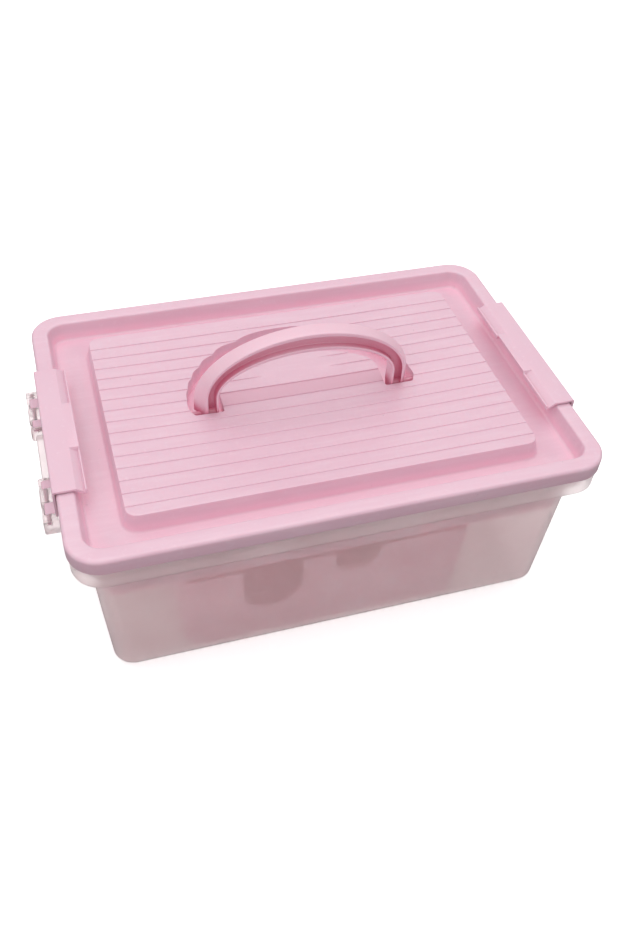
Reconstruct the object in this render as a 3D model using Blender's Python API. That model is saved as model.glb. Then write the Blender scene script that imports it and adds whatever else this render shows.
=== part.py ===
"""Sewing box: a frosted tub, a clip-on lid with a folding handle, and two pink trays.

Metres, +Z up, +X along the long side, +Y towards the back.
The origin is the middle of the tub's underside.
"""
import math

import bmesh
import bpy
from mathutils import Vector

# --- driving dimensions ------------------------------------------------------
LID_HALF_X = 0.170
LID_HALF_Y = 0.1179
LID_CORNER = 0.021
RIM_TOP = 0.1326
RIM_WIDTH = 0.0113
SKIRT_HEIGHT = 0.0109
CHANNEL_DEPTH = 0.0125
LID_WALL = 0.0020
PANEL_HALF_X = 0.1325
PANEL_HALF_Y = 0.08675
PANEL_MIDDLE_Y = -0.00075
PANEL_CORNER = 0.007
PANEL_DROP = 0.0006

TUB_WALL = 0.0018
TUB_FLOOR = 0.0020
WALL_INSET = 0.0114
FLANGE_BOTTOM = 0.1082
FLANGE_TOP = 0.1214
LEDGE_TOP = 0.1120
MOUTH_INSET = 0.0090
DRAFT = 0.0562
DRAFT_OUT = 0.0025

HINGE_X = 0.1765
HINGE_Z = RIM_TOP - 0.0225
HINGE_TOP = 0.0025
HINGE_DROP = 0.0085
LOBE_REACH = 0.1802
LOBE_WALL = 0.0013
EARS = ((0.0237, 0.0249), (0.0331, 0.0444), (0.0551, 0.0615))
WEB_REACH = 0.1775
PIN_RADIUS = 0.0013
PIN_HOLE_RADIUS = 0.0017

CLIP_HALF_Y = 0.0575
CLIP_TAB_HALF_Y = 0.0206
CLIP_SHIFT = {-1: -0.0026, 1: -0.0010}
CLIP_GAP = 0.0008
CLIP_SIDE_GAP = 0.0005
CLIP_WALL = 0.0015
CLIP_DIP = 0.0032
CLIP_SLOPE = 0.0046
CLIP_LIP = 0.0016
CLIP_INNER_X = 0.1514
CLIP_OVER_RIM_X = 0.1582
CLIP_SKIRT = 0.0180
ARMS = ((0.0254, 0.0326), (0.0449, 0.0546))
ARM_HALF = 0.0020

HANDLE_Y = -0.0020
HANDLE_Z = RIM_TOP - 0.0072
HANDLE_WIDTH = 0.0115
HANDLE_FRONT = (0.0683, 0.0408, 0.0151)
HANDLE_BACK = (0.0746, 0.0483, 0.0076)
HANDLE_INSIDE = (0.0597, 0.0273, 0.0151)
HANDLE_FLANGES = (0.22, 0.82)
HANDLE_WEB = (0.39, 0.61)
HANDLE_EYE = 0.0050
HANDLE_PIN = 0.0020
HANDLE_PIN_HOLE = 0.0024
RECESS_FLOOR = RIM_TOP - 0.0136
RECESS_OUTER = (0.0786, 0.0686, 0.0)
RECESS_INNER = (0.0560, 0.0255, 0.0120)
RECESS_FRONT = -0.0083

UPPER_BOTTOM = 0.0816
UPPER_RIM_TOP = 0.1140
UPPER_WALL_TOP = 0.1080
LOWER_MIDDLE_X = -0.009
LOWER_HALF_X = 0.096
LOWER_HALF_Y = 0.0970
LOWER_BOTTOM = TUB_FLOOR + 0.0004
LOWER_TOP = 0.0780
TRAY_WALL = 0.0015
DIVIDER_WALL = 0.0016
DIVIDER_GAP = 0.0004
RIB = 0.0014
RIB_REACH = 0.0028
UPPER_MIDDLE_Y = 0.022
UPPER_DIVIDERS = ((-0.052, 1), (0.052, 1), (-0.052, -1), (0.052, -1))
UPPER_GRIP = (-0.068, -0.024, 0.096, 0.106)
LOWER_DIVIDERS = (-0.016, 0.044)
LOWER_GRIP = (-0.020, 0.020, 0.056, 0.068)
LOWER_NOTCHES = ((-0.047, 0.0200, 0.0356), (0.0095, 0.0155, 0.0566))
GRIP_CORNER = 0.002
GRIP_CUT = 0.005

CORNER_STEPS = 6
ARCH_STEPS = 36
FILLET_STEPS = 3
MERGE = 0.00001

PINK = (0.80, 0.56, 0.63, 1.0)
PINK_TRAY = (0.80, 0.50, 0.58, 1.0)
FROSTED = (0.80, 0.78, 0.77, 0.45)


# --- small helpers -----------------------------------------------------------
def clear_scene():
    for item in list(bpy.data.objects):
        bpy.data.objects.remove(item, do_unlink=True)


def make_material(name, colour, roughness):
    material = bpy.data.materials.new(name)
    material.use_nodes = True
    shader = material.node_tree.nodes["Principled BSDF"]
    shader.inputs["Base Color"].default_value = colour
    shader.inputs["Roughness"].default_value = roughness
    shader.inputs["Metallic"].default_value = 0.0
    shader.inputs["Alpha"].default_value = colour[3]
    return material


def rounded_rectangle(half_x, half_y, radius, middle_x=0.0, middle_y=0.0):
    """Outline points of a rounded rectangle, anticlockwise."""
    points = []
    for side_x, side_y, start in ((1, 1, 0.0), (-1, 1, 0.5), (-1, -1, 1.0), (1, -1, 1.5)):
        for step in range(CORNER_STEPS + 1):
            angle = math.pi * (start + 0.5 * step / CORNER_STEPS)
            points.append((middle_x + side_x * (half_x - radius) + radius * math.cos(angle),
                           middle_y + side_y * (half_y - radius) + radius * math.sin(angle)))
    return points


def loft(rings):
    """Closed mesh through rings of equal point count, capped at both ends."""
    mesh = bmesh.new()
    loops = [[mesh.verts.new(point) for point in ring] for ring in rings]
    count = len(rings[0])
    for low, high in zip(loops, loops[1:]):
        for i in range(count):
            j = (i + 1) % count
            mesh.faces.new((low[i], low[j], high[j], high[i]))
    mesh.faces.new(list(reversed(loops[0])))
    mesh.faces.new(loops[-1])
    bmesh.ops.recalc_face_normals(mesh, faces=mesh.faces)
    return mesh


def level(half_x, half_y, radius, z, middle_x=0.0, middle_y=0.0):
    """Ring of a loft: a rounded rectangle at one height."""
    return [(x, y, z) for x, y in rounded_rectangle(half_x, half_y, radius, middle_x, middle_y)]


def inset_level(inset, z, radius):
    """Ring at a distance inside the lid's outline."""
    return level(LID_HALF_X - inset, LID_HALF_Y - inset, radius, z)


def prism_y(outline, y_low, y_high):
    """Outline in X and Z, extruded along Y."""
    return loft([[(x, y, z) for x, z in outline] for y in (y_low, y_high)])


def prism_x(outline, x_low, x_high):
    """Outline in Y and Z, extruded along X."""
    return loft([[(x, y, z) for y, z in outline] for x in (x_low, x_high)])


def prism_z(outline, z_low, z_high):
    """Outline in X and Y, extruded along Z."""
    return loft([[(x, y, z) for x, y in outline] for z in (z_low, z_high)])


def rod_y(x, z, radius, y_low, y_high, sides=12):
    """Round rod along Y."""
    turn = [2 * math.pi * (i + 0.5) / sides for i in range(sides)]
    return prism_y([(x + radius * math.cos(a), z + radius * math.sin(a)) for a in turn], y_low, y_high)


def rod_x(y, z, radius, x_low, x_high, sides=12):
    """Round rod along X."""
    turn = [2 * math.pi * (i + 0.5) / sides for i in range(sides)]
    return prism_x([(y + radius * math.cos(a), z + radius * math.sin(a)) for a in turn], x_low, x_high)


def add_object(name, mesh, material, origin=(0.0, 0.0, 0.0)):
    """Object whose origin is at the given point, with the mesh left where it was drawn."""
    bmesh.ops.translate(mesh, verts=mesh.verts, vec=[-value for value in origin])
    data = bpy.data.meshes.new(name)
    mesh.to_mesh(data)
    mesh.free()
    data.materials.append(material)
    item = bpy.data.objects.new(name, data)
    item.location = origin
    bpy.context.scene.collection.objects.link(item)
    return item


def combine(base, tools, operation):
    """Boolean of a mesh with several tool meshes, one after the other."""
    target = bpy.data.objects.new("shape", bpy.data.meshes.new("shape"))
    base.to_mesh(target.data)
    base.free()
    bpy.context.scene.collection.objects.link(target)
    for tool in tools:
        cutter = bpy.data.objects.new("tool", bpy.data.meshes.new("tool"))
        tool.to_mesh(cutter.data)
        tool.free()
        cutter.hide_render = True
        cutter.display_type = "WIRE"
        bpy.context.scene.collection.objects.link(cutter)
        modifier = target.modifiers.new(operation, "BOOLEAN")
        modifier.operation = operation
        modifier.solver = "EXACT"
        modifier.object = cutter
        bpy.context.view_layer.update()
        graph = bpy.context.evaluated_depsgraph_get()
        result = bpy.data.meshes.new_from_object(target.evaluated_get(graph))
        target.modifiers.clear()
        target.data = result
        bpy.data.objects.remove(cutter, do_unlink=True)
    mesh = bmesh.new()
    mesh.from_mesh(target.data)
    bpy.data.objects.remove(target, do_unlink=True)
    bmesh.ops.remove_doubles(mesh, verts=mesh.verts, dist=MERGE)
    bmesh.ops.dissolve_degenerate(mesh, edges=mesh.edges, dist=MERGE)
    return mesh


def mirrored(outline, side):
    """Outline in X and another axis, mirrored to the -X side when side is -1."""
    return [(side * a, b) for a, b in outline]


def fillet(inset, z, radius):
    """Insets and heights of a rounded bottom edge, from the flat up to the wall."""
    steps = []
    for i in range(FILLET_STEPS + 1):
        angle = 0.5 * math.pi * i / FILLET_STEPS
        steps.append((inset + radius * (1 - math.sin(angle)), z + radius * (1 - math.cos(angle))))
    return steps


# --- tub ---------------------------------------------------------------------
def wall_inset(z):
    """Inset of the tub's outer wall below its flange."""
    return WALL_INSET + DRAFT * (FLANGE_BOTTOM - z)


def ear_outline():
    """One hinge ear seen along Y: from inside the tub's wall out to the lobe's edge."""
    low = HINGE_Z - HINGE_DROP
    high = HINGE_Z + HINGE_TOP
    under_rim = FLANGE_BOTTOM + 0.0009
    root = 0.1575
    flange = 0.1680
    corner = 0.0016
    return [(root, low), (LOBE_REACH - corner, low), (LOBE_REACH, low + corner),
            (LOBE_REACH, high - corner), (LOBE_REACH - corner, high), (flange, high),
            (flange, under_rim), (root, under_rim)]


def tub_mesh():
    rings = [inset_level(inset, z, 0.0130) for inset, z in fillet(wall_inset(0.0), 0.0, 0.008)]
    rings += [
        inset_level(WALL_INSET, FLANGE_BOTTOM, 0.0180),
        inset_level(WALL_INSET, FLANGE_BOTTOM + 0.0020, 0.0160),
        inset_level(MOUTH_INSET - TUB_WALL, FLANGE_BOTTOM + 0.0020, 0.0140),
        inset_level(MOUTH_INSET - TUB_WALL, FLANGE_TOP - 0.0020, 0.0140),
        inset_level(0.0030, FLANGE_TOP - 0.0020, 0.0180),
        inset_level(0.0030, FLANGE_BOTTOM, 0.0180),
        inset_level(0.0022, FLANGE_BOTTOM, 0.0188),
        inset_level(0.0012, FLANGE_BOTTOM + 0.0013, 0.0198),
        inset_level(0.0012, FLANGE_TOP - 0.0008, 0.0198),
        inset_level(0.0020, FLANGE_TOP, 0.0190),
        inset_level(MOUTH_INSET - 0.0006, FLANGE_TOP, 0.0126),
        inset_level(MOUTH_INSET, FLANGE_TOP - 0.0006, 0.0120),
        inset_level(MOUTH_INSET, LEDGE_TOP, 0.0120),
        inset_level(WALL_INSET + TUB_WALL, LEDGE_TOP, 0.0150),
        inset_level(WALL_INSET + TUB_WALL, FLANGE_BOTTOM, 0.0160),
    ]
    inner = fillet(wall_inset(TUB_FLOOR) + TUB_WALL, TUB_FLOOR, 0.006)
    rings += [inset_level(inset, z, 0.0110) for inset, z in reversed(inner)]
    extras = []
    holes = []
    ends = EARS[0][0], EARS[-1][1]
    bar = [(LOBE_REACH - LOBE_WALL, HINGE_Z - HINGE_DROP + 0.0004), (LOBE_REACH, HINGE_Z - 0.0068),
           (LOBE_REACH, HINGE_Z - 0.0025), (LOBE_REACH - LOBE_WALL, HINGE_Z - 0.0025)]
    web = [(0.1575, HINGE_Z - 0.0060), (WEB_REACH, HINGE_Z - 0.0060),
           (WEB_REACH, HINGE_Z - 0.0038), (0.1575, HINGE_Z - 0.0038)]
    for side in (1, -1):
        for end in (1, -1):
            for ear in EARS:
                extras.append(prism_y(mirrored(ear_outline(), side), *sorted(end * y for y in ear)))
            inside = (ends[0] + 0.0004, ends[1] - 0.0004)
            extras.append(prism_y(mirrored(bar, side), *sorted(end * y for y in inside)))
        extras.append(prism_y(mirrored(web, side), -ends[0] - 0.0002, ends[0] + 0.0002))
        holes.append(rod_y(side * HINGE_X, HINGE_Z, PIN_HOLE_RADIUS, -ends[1] - 0.002, ends[1] + 0.002))
    return combine(combine(loft(rings), extras, "UNION"), holes, "DIFFERENCE")


# --- lid ---------------------------------------------------------------------
def panel_level(grow, z):
    """Ring around the raised panel, grown or shrunk by a distance."""
    return level(PANEL_HALF_X + grow, PANEL_HALF_Y + grow, max(PANEL_CORNER + grow, 0.002), z,
                 middle_y=PANEL_MIDDLE_Y)


def recess_outline(grow):
    """U-shaped outline around the island: half an ellipse outside and inside, open to the front."""
    outer_x, outer_y, outer_middle = RECESS_OUTER
    inner_x, inner_y, inner_middle = RECESS_INNER
    front = RECESS_FRONT - grow
    points = [(outer_x + grow, front)]
    for step in range(ARCH_STEPS + 1):
        angle = math.pi * step / ARCH_STEPS
        points.append(((outer_x + grow) * math.cos(angle), outer_middle + (outer_y + grow) * math.sin(angle)))
    points += [(-outer_x - grow, front), (grow - inner_x, front)]
    for step in range(ARCH_STEPS + 1):
        angle = math.pi * (1 - step / ARCH_STEPS)
        points.append(((inner_x - grow) * math.cos(angle), inner_middle + (inner_y - grow) * math.sin(angle)))
    points.append((inner_x - grow, front))
    return points


def lid_mesh():
    top = RIM_TOP
    under = top - CHANNEL_DEPTH - LID_WALL
    wall = LID_WALL
    rings = [
        panel_level(-wall, top - PANEL_DROP - wall),
        panel_level(DRAFT_OUT - wall, under),
        inset_level(RIM_WIDTH + DRAFT_OUT - wall, under, 0.0090),
        inset_level(RIM_WIDTH - wall, top - wall, 0.0120),
        inset_level(wall, top - wall, LID_CORNER - wall),
        inset_level(wall, top - SKIRT_HEIGHT, LID_CORNER - wall),
        inset_level(0.0, top - SKIRT_HEIGHT, LID_CORNER),
        inset_level(0.0, top - 0.0025, LID_CORNER),
        inset_level(0.0007, top - 0.0007, LID_CORNER - 0.0007),
        inset_level(0.0025, top, LID_CORNER - 0.0025),
        inset_level(RIM_WIDTH - 0.0015, top, 0.0130),
        inset_level(RIM_WIDTH - 0.0004, top - 0.0004, 0.0120),
        inset_level(RIM_WIDTH, top - 0.0015, 0.0115),
        inset_level(RIM_WIDTH + DRAFT_OUT - 0.0003, top - CHANNEL_DEPTH + 0.0018, 0.0095),
        inset_level(RIM_WIDTH + DRAFT_OUT + 0.0015, top - CHANNEL_DEPTH, 0.0080),
        panel_level(DRAFT_OUT + 0.0012, top - CHANNEL_DEPTH),
        panel_level(DRAFT_OUT, top - CHANNEL_DEPTH + 0.0012),
        panel_level(0.0003, top - PANEL_DROP - 0.0012),
        panel_level(-0.0010, top - PANEL_DROP),
    ]
    housing = prism_z(recess_outline(wall), RECESS_FLOOR - wall, top - PANEL_DROP - 0.0008)
    body = combine(loft(rings), [housing], "UNION")
    cuts = [prism_z(recess_outline(0.0), RECESS_FLOOR, top + 0.004)]
    for side in (1, -1):
        xs = sorted((side * (RECESS_OUTER[0] - 0.001), side * (RECESS_OUTER[0] + wall + 0.001)))
        cuts.append(rod_x(HANDLE_Y, HANDLE_Z, HANDLE_PIN_HOLE, *xs))
    return combine(body, cuts, "DIFFERENCE")


# --- carry handle ------------------------------------------------------------
def arch_point(curve, angle, foot):
    """Point on one edge of the handle in X and height above the hinge; a foot goes down to the hinge."""
    half_x, rise, middle = curve
    height = 0.0 if foot else middle + rise * math.sin(angle)
    return Vector((half_x * math.cos(angle), height))


def handle_ring(angle, foot=False):
    """I section: outer flange, thin web and inner flange, wider apart at the back than in front."""
    outer_end, inner_start = HANDLE_FLANGES
    web_front, web_back = HANDLE_WEB
    section = [(0, 0), (0, 1), (outer_end, 1), (outer_end, web_back), (inner_start, web_back),
               (inner_start, 1), (1, 1), (1, 0), (inner_start, 0), (inner_start, web_front),
               (outer_end, web_front), (outer_end, 0)]
    front = arch_point(HANDLE_FRONT, angle, foot)
    back = arch_point(HANDLE_BACK, angle, foot)
    inside = arch_point(HANDLE_INSIDE, angle, foot)
    ring = []
    for deep, across in section:
        x, height = front.lerp(back, across).lerp(inside, deep)
        ring.append((x, HANDLE_Y + HANDLE_WIDTH * (across - 0.5), HANDLE_Z + height))
    return ring


def handle_mesh():
    """Arch of I section on two feet, each with a round eye and a pin."""
    arch = [handle_ring(math.pi * step / ARCH_STEPS) for step in range(ARCH_STEPS + 1)]
    rings = [handle_ring(0.0, True)] + arch + [handle_ring(math.pi, True)]
    extras = []
    for side in (1, -1):
        eye = sorted((side * HANDLE_INSIDE[0], side * (HANDLE_BACK[0] - 0.0008)))
        extras.append(rod_x(HANDLE_Y, HANDLE_Z, HANDLE_EYE, *eye, sides=20))
        pin = sorted((side * (HANDLE_BACK[0] - 0.002), side * (RECESS_OUTER[0] + LID_WALL)))
        extras.append(rod_x(HANDLE_Y, HANDLE_Z, HANDLE_PIN, *pin))
    return combine(loft(rings), extras, "UNION")


# --- side clips --------------------------------------------------------------
def clip_section(hooked):
    """Clip seen along Y: tip, plate and skirt. Hooked at its feet, flat at its finger tab."""
    under = RIM_TOP + CLIP_GAP
    over = under + CLIP_WALL
    dip = CLIP_DIP if hooked else 0.0
    lip = CLIP_LIP if hooked else 0.0
    tip = CLIP_INNER_X
    knee = CLIP_OVER_RIM_X - CLIP_SLOPE
    skirt = LID_HALF_X + CLIP_SIDE_GAP
    outside = skirt + CLIP_WALL
    low = RIM_TOP - CLIP_SKIRT
    return [(tip, under - dip + 0.0006), (tip + 0.0006, under - dip), (knee, under - dip),
            (CLIP_OVER_RIM_X, under), (skirt, under), (skirt, low), (outside, low),
            (outside, over - 0.0012), (outside - 0.0004, over - 0.0004), (outside - 0.0012, over),
            (CLIP_OVER_RIM_X - 0.0006, over), (knee - 0.0005, over - dip), (tip + 0.0016, over - dip),
            (tip + 0.0010, over - dip + lip), (tip, over - dip + lip - 0.0004)]


def arm_outline():
    """Cranked arm seen along Y: down from the skirt, then out to the pin, over the lobe's bar."""
    near = LID_HALF_X + CLIP_SIDE_GAP + 0.0001
    far = near + CLIP_WALL - 0.0002
    top = RIM_TOP - CLIP_SKIRT + 0.0015
    low, high = HINGE_Z - ARM_HALF, HINGE_Z + ARM_HALF
    bend = ARM_HALF * math.sqrt(0.5)
    return [(near, top), (near, low), (HINGE_X, low), (HINGE_X + bend, HINGE_Z - bend),
            (HINGE_X + ARM_HALF, HINGE_Z), (HINGE_X + bend, HINGE_Z + bend), (HINGE_X, high),
            (far + 0.0008, high), (far, high + 0.0008), (far, top)]


def clip_mesh(side):
    half, tab = CLIP_HALF_Y, CLIP_TAB_HALF_Y
    stations = ((-half, True), (-tab - 0.0015, True), (-tab, False), (tab, False),
                (tab + 0.0015, True), (half, True))
    rings = []
    for y, hooked in stations:
        rings.append([(side * x, y + CLIP_SHIFT[side], z) for x, z in clip_section(hooked)])
    extras = []
    pin = EARS[0][0] + 0.0006, EARS[-1][1] - 0.0006
    for end in (1, -1):
        for arm in ARMS:
            extras.append(prism_y(mirrored(arm_outline(), side), *sorted(end * y for y in arm)))
        extras.append(rod_y(side * HINGE_X, HINGE_Z, PIN_RADIUS, *sorted(end * y for y in pin)))
    return combine(loft(rings), extras, "UNION")


# --- trays -------------------------------------------------------------------
def upper_half(z, wall=0.0):
    """Half sizes of the upper tray's body at a height, less a wall."""
    inset = WALL_INSET + TUB_WALL + 0.0011 + DRAFT * (LEDGE_TOP - z) + wall
    return LID_HALF_X - inset, LID_HALF_Y - inset


def lower_half(z, wall=0.0):
    """Half sizes of the lower tray at a height, less a wall."""
    grow = DRAFT * (z - LOWER_BOTTOM) - wall
    return LOWER_HALF_X + grow, LOWER_HALF_Y + grow


def rib_pair(x, face, direction, z_low, z_high, draft):
    """Two upright ribs that guide a divider's edge, standing on a wall face."""
    ribs = []
    root = face - direction * 0.0006
    tip = face + direction * RIB_REACH
    lean = direction * draft * (z_high - z_low)
    for shift in (-1, 1):
        x_in = x + shift * (DIVIDER_WALL / 2 + DIVIDER_GAP)
        xs = sorted((x_in, x_in + shift * RIB))
        outline = [(root, z_low), (tip, z_low), (tip - lean, z_high), (root - lean, z_high)]
        ribs.append(prism_x(outline, *xs))
    return ribs


def cut_corner_outline(low_a, high_a, low_b, high_b):
    """Rectangle with its corners cut off."""
    c = GRIP_CORNER
    return [(low_a + c, low_b), (high_a - c, low_b), (high_a, low_b + c), (high_a, high_b - c),
            (high_a - c, high_b), (low_a + c, high_b), (low_a, high_b - c), (low_a, low_b + c)]


def upper_tray_mesh():
    rings = []
    for inset, z in fillet(0.0, UPPER_BOTTOM, 0.002):
        half_x, half_y = upper_half(z)
        rings.append(level(half_x - inset, half_y - inset, 0.012, z))
    half_x, half_y = upper_half(LEDGE_TOP)
    low = LEDGE_TOP + 0.0003
    rim_inset = MOUTH_INSET + 0.0007
    rings += [
        level(half_x, half_y, 0.0145, low),
        inset_level(rim_inset, low, 0.0113),
        inset_level(rim_inset, UPPER_RIM_TOP, 0.0113),
        level(half_x - TRAY_WALL, half_y - TRAY_WALL, 0.0130, UPPER_RIM_TOP),
    ]
    floor = UPPER_BOTTOM + TRAY_WALL
    half_x, half_y = upper_half(floor, TRAY_WALL)
    rings += [
        level(half_x, half_y, 0.0110, floor + 0.0015),
        level(half_x - 0.0015, half_y - 0.0015, 0.0095, floor),
    ]
    walls = []
    top_x = upper_half(UPPER_WALL_TOP, TRAY_WALL)[0] + 0.0006
    bottom_x = upper_half(floor, TRAY_WALL)[0] + 0.0006
    outline = [(-bottom_x, floor - 0.0005), (bottom_x, floor - 0.0005), (top_x, UPPER_WALL_TOP),
               (-top_x, UPPER_WALL_TOP)]
    middle = (UPPER_MIDDLE_Y - TRAY_WALL / 2, UPPER_MIDDLE_Y + TRAY_WALL / 2)
    walls.append(prism_y(outline, *middle))
    rib_low = floor - 0.0004
    rib_high = UPPER_WALL_TOP - 0.002
    for x, row in UPPER_DIVIDERS:
        face = row * upper_half(rib_low, TRAY_WALL)[1]
        walls += rib_pair(x, face, -row, rib_low, rib_high, DRAFT)
        walls += rib_pair(x, middle[1] if row > 0 else middle[0], row, rib_low, rib_high, 0.0)
    body = combine(loft(rings), walls, "UNION")
    holes = []
    for side in (1, -1):
        wall_x = side * upper_half(UPPER_GRIP[2])[0]
        holes.append(prism_x(cut_corner_outline(*UPPER_GRIP), wall_x - GRIP_CUT, wall_x + GRIP_CUT))
    return combine(body, holes, "DIFFERENCE")


def notch_outline(x, radius, bottom):
    """Round-bottomed notch that is open at the top."""
    middle = bottom + radius
    points = [(x + radius, LOWER_TOP + 0.004)]
    for step in range(13):
        angle = -math.pi * step / 12
        points.append((x + radius * math.cos(angle), middle + radius * math.sin(angle)))
    points.append((x - radius, LOWER_TOP + 0.004))
    return points


def lower_tray_mesh():
    rings = []
    for inset, z in fillet(0.0, LOWER_BOTTOM, 0.0065):
        half_x, half_y = lower_half(z)
        rings.append(level(half_x - inset, half_y - inset, 0.009, z, LOWER_MIDDLE_X))
    half_x, half_y = lower_half(LOWER_TOP)
    rings += [
        level(half_x, half_y, 0.011, LOWER_TOP, LOWER_MIDDLE_X),
        level(half_x - TRAY_WALL, half_y - TRAY_WALL, 0.0095, LOWER_TOP, LOWER_MIDDLE_X),
    ]
    floor = LOWER_BOTTOM + TRAY_WALL
    for inset, z in reversed(fillet(0.0, floor, 0.005)):
        half_x, half_y = lower_half(z, TRAY_WALL)
        rings.append(level(half_x - inset, half_y - inset, 0.0075, z, LOWER_MIDDLE_X))
    ribs = []
    rib_low = floor + 0.004
    for x in LOWER_DIVIDERS:
        for row in (1, -1):
            face = row * lower_half(rib_low, TRAY_WALL)[1]
            ribs += rib_pair(x, face, -row, rib_low, LOWER_TOP - 0.003, DRAFT)
    body = combine(loft(rings), ribs, "UNION")
    cuts = []
    for notch in LOWER_NOTCHES:
        cuts.append(prism_y(notch_outline(*notch), -LOWER_HALF_Y - 0.015, 0.011 - LOWER_HALF_Y))
    for side in (1, -1):
        wall_x = LOWER_MIDDLE_X + side * lower_half(LOWER_GRIP[2])[0]
        cuts.append(prism_x(cut_corner_outline(*LOWER_GRIP), wall_x - GRIP_CUT, wall_x + GRIP_CUT))
    return combine(body, cuts, "DIFFERENCE")


def upper_divider_mesh(x, row):
    """Loose cross plate between the tray's middle wall and its long wall."""
    low = UPPER_BOTTOM + TRAY_WALL + 0.0004
    high = UPPER_WALL_TOP - 0.0005
    near = UPPER_MIDDLE_Y + row * (TRAY_WALL / 2 + DIVIDER_GAP)
    foot = row * (upper_half(low, TRAY_WALL)[1] - DIVIDER_GAP - 0.0014)
    knee = row * (upper_half(low + 0.002, TRAY_WALL)[1] - DIVIDER_GAP)
    head = row * (upper_half(high, TRAY_WALL)[1] - DIVIDER_GAP)
    outline = [(near, low), (foot, low), (knee, low + 0.002), (head, high), (near, high)]
    return prism_x(outline, x - DIVIDER_WALL / 2, x + DIVIDER_WALL / 2)


def lower_divider_mesh(x):
    """Loose cross plate the full width of the lower tray, dipped in the middle for a finger."""
    low = LOWER_BOTTOM + TRAY_WALL + 0.0004
    high = LOWER_TOP - 0.002
    foot = lower_half(low, TRAY_WALL)[1] - DIVIDER_GAP - 0.0054
    knee = lower_half(low + 0.0054, TRAY_WALL)[1] - DIVIDER_GAP
    head = lower_half(high, TRAY_WALL)[1] - DIVIDER_GAP
    outline = [(-foot, low), (foot, low), (knee, low + 0.0054), (head, high), (0.030, high),
               (0.020, high - 0.008), (-0.020, high - 0.008), (-0.030, high), (-head, high),
               (-knee, low + 0.0054)]
    return prism_x(outline, x - DIVIDER_WALL / 2, x + DIVIDER_WALL / 2)


# --- build -------------------------------------------------------------------
def build():
    clear_scene()
    lid_plastic = make_material("pink_plastic", PINK, 0.42)
    tray_plastic = make_material("pink_tray_plastic", PINK_TRAY, 0.42)
    frosted = make_material("frosted_plastic", FROSTED, 0.35)
    add_object("tub", tub_mesh(), frosted)
    add_object("lid", lid_mesh(), lid_plastic, (0.0, 0.0, RIM_TOP))
    add_object("carry_handle", handle_mesh(), lid_plastic, (0.0, HANDLE_Y, HANDLE_Z))
    add_object("clip_left", clip_mesh(-1), lid_plastic, (-HINGE_X, 0.0, HINGE_Z))
    add_object("clip_right", clip_mesh(1), lid_plastic, (HINGE_X, 0.0, HINGE_Z))
    add_object("upper_tray", upper_tray_mesh(), tray_plastic, (0.0, 0.0, LEDGE_TOP))
    add_object("lower_tray", lower_tray_mesh(), tray_plastic, (LOWER_MIDDLE_X, 0.0, LOWER_BOTTOM))
    for number, (x, row) in enumerate(UPPER_DIVIDERS, 1):
        name = "upper_divider_%d" % number
        add_object(name, upper_divider_mesh(x, row), tray_plastic, (x, 0.0, UPPER_BOTTOM))
    for number, x in enumerate(LOWER_DIVIDERS, 1):
        name = "lower_divider_%d" % number
        add_object(name, lower_divider_mesh(x), tray_plastic, (x, 0.0, LOWER_BOTTOM))


build()
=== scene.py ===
"""Looks of the sewing box: fine meshes, moulded plastics, studio light and camera."""
import math

import bmesh
import bpy
from mathutils import Matrix, Vector


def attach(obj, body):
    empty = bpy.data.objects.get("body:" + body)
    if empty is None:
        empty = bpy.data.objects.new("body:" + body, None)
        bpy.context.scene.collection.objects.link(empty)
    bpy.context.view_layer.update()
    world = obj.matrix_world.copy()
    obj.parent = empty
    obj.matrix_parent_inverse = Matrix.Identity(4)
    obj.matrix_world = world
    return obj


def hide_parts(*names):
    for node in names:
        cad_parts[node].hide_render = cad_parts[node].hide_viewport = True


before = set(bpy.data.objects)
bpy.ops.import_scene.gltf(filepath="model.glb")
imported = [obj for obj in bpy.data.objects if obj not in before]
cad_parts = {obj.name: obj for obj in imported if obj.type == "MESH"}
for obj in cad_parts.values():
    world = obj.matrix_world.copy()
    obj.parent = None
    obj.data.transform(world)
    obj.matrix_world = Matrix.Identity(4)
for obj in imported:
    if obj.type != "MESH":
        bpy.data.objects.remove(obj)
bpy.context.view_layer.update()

# --- sizes, as in the CAD ----------------------------------------------------
LID_HALF_X = 0.170
LID_HALF_Y = 0.1179
LID_CORNER = 0.021
RIM_TOP = 0.1326
RIM_WIDTH = 0.0113
SKIRT_HEIGHT = 0.0109
CHANNEL_DEPTH = 0.0125
LID_WALL = 0.0020
PANEL_HALF_X = 0.1325
PANEL_HALF_Y = 0.08675
PANEL_MIDDLE_Y = -0.00075
DRAFT_OUT = 0.0025

TUB_WALL = 0.0018
TUB_FLOOR = 0.0020
WALL_INSET = 0.0114
FLANGE_BOTTOM = 0.1082
FLANGE_TOP = 0.1214
LEDGE_TOP = 0.1120
MOUTH_INSET = 0.0090
DRAFT = 0.0562

HINGE_X = 0.1765
HINGE_Z = RIM_TOP - 0.0225
HINGE_TOP = 0.0025
HINGE_DROP = 0.0085
LOBE_REACH = 0.1802
LOBE_WALL = 0.0013
EARS = ((0.0237, 0.0249), (0.0331, 0.0444), (0.0551, 0.0615))
WEB_REACH = 0.1775
PIN_RADIUS = 0.0013
PIN_HOLE_RADIUS = 0.0017

CLIP_HALF_Y = 0.0575
CLIP_TAB_HALF_Y = 0.0206
CLIP_SHIFT = {-1: -0.0026, 1: -0.0010}
CLIP_GAP = 0.0008
CLIP_SIDE_GAP = 0.0005
CLIP_WALL = 0.0015
CLIP_DIP = 0.0032
CLIP_SLOPE = 0.0046
CLIP_LIP = 0.0016
CLIP_INNER_X = 0.1514
CLIP_OVER_RIM_X = 0.1582
CLIP_SKIRT = 0.0180
ARMS = ((0.0254, 0.0326), (0.0449, 0.0546))
ARM_HALF = 0.0020

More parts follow.
